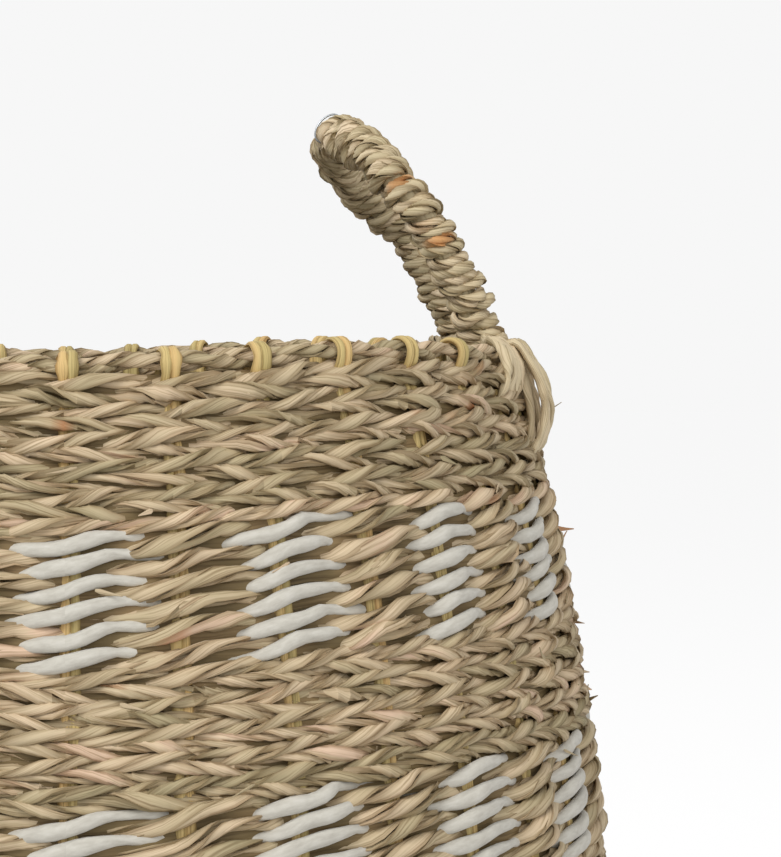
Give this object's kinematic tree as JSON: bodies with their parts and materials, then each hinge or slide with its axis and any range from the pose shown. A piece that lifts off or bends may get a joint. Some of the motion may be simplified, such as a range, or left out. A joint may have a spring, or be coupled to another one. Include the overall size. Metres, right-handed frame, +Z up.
{
  "type": "storage basket",
  "caption": "Belly-shaped storage basket twined from seagrass round raffia stakes, with bands of white cord, a rope rim and two upright loop handles.",
  "frame": {"origin": "centre of the basket's underside, on the surface that it stands on", "axes": "+Z up along the basket's axis; +X towards the right handle; the front is -Y"},
  "size_m": [0.4354, 0.4336, 0.4932],
  "materials": {
    "seagrass": "dry twisted seagrass",
    "white_cord": "soft matte cotton cord",
    "raffia": "dry palm fibre",
    "handle_cord": "two-ply seagrass cord",
    "wire": "plain drawn wire"
  },
  "bodies": {
    "basket": {"stake_01": "raffia", "stake_02": "raffia", "stake_03": "raffia", "stake_04": "raffia", "stake_05": "raffia", "stake_06": "raffia", "stake_07": "raffia", "stake_08": "raffia", "stake_09": "raffia", "stake_10": "raffia", "stake_11": "raffia", "stake_12": "raffia", "stake_13": "raffia", "stake_14": "raffia", "stake_15": "raffia", "stake_16": "raffia", "stake_17": "raffia", "stake_18": "raffia", "stake_19": "raffia", "stake_20": "raffia", "stake_21": "raffia", "stake_22": "raffia", "stake_23": "raffia", "stake_24": "raffia", "stake_25": "raffia", "stake_26": "raffia", "stake_27": "raffia", "stake_28": "raffia", "stake_29": "raffia", "stake_30": "raffia", "stake_31": "raffia", "stake_32": "raffia", "stake_33": "raffia", "stake_34": "raffia", "weave_band_1_natural": "seagrass", "weave_band_2_white": "white_cord", "weave_band_3_natural": "seagrass", "weave_band_4_white": "white_cord", "weave_band_5_natural": "seagrass", "weave_band_6_white": "white_cord", "weave_band_7_natural": "seagrass", "weave_corner": "seagrass", "base_weave": "seagrass", "base_centre": "seagrass", "rim_rope": "seagrass", "right_handle_root_1": "handle_cord", "right_handle_root_2": "handle_cord", "left_handle_root_1": "handle_cord", "left_handle_root_2": "handle_cord"},
    "handle_right": {"right_handle_wrap": "handle_cord", "right_handle_core_wire": "wire"},
    "handle_left": {"left_handle_wrap": "handle_cord", "left_handle_core_wire": "wire"}
  },
  "joints": [
    {"name": "right_handle_tilt", "type": "hinge", "parent": "basket", "child": "handle_right", "pos_m": [0.1707, 0, 0.3944], "axis": [0, 1, 0], "range_deg": [-20, 80]},
    {"name": "left_handle_tilt", "type": "hinge", "parent": "basket", "child": "handle_left", "pos_m": [-0.1707, 0, 0.3944], "axis": [0, -1, 0], "range_deg": [-20, 80]}
  ]
}
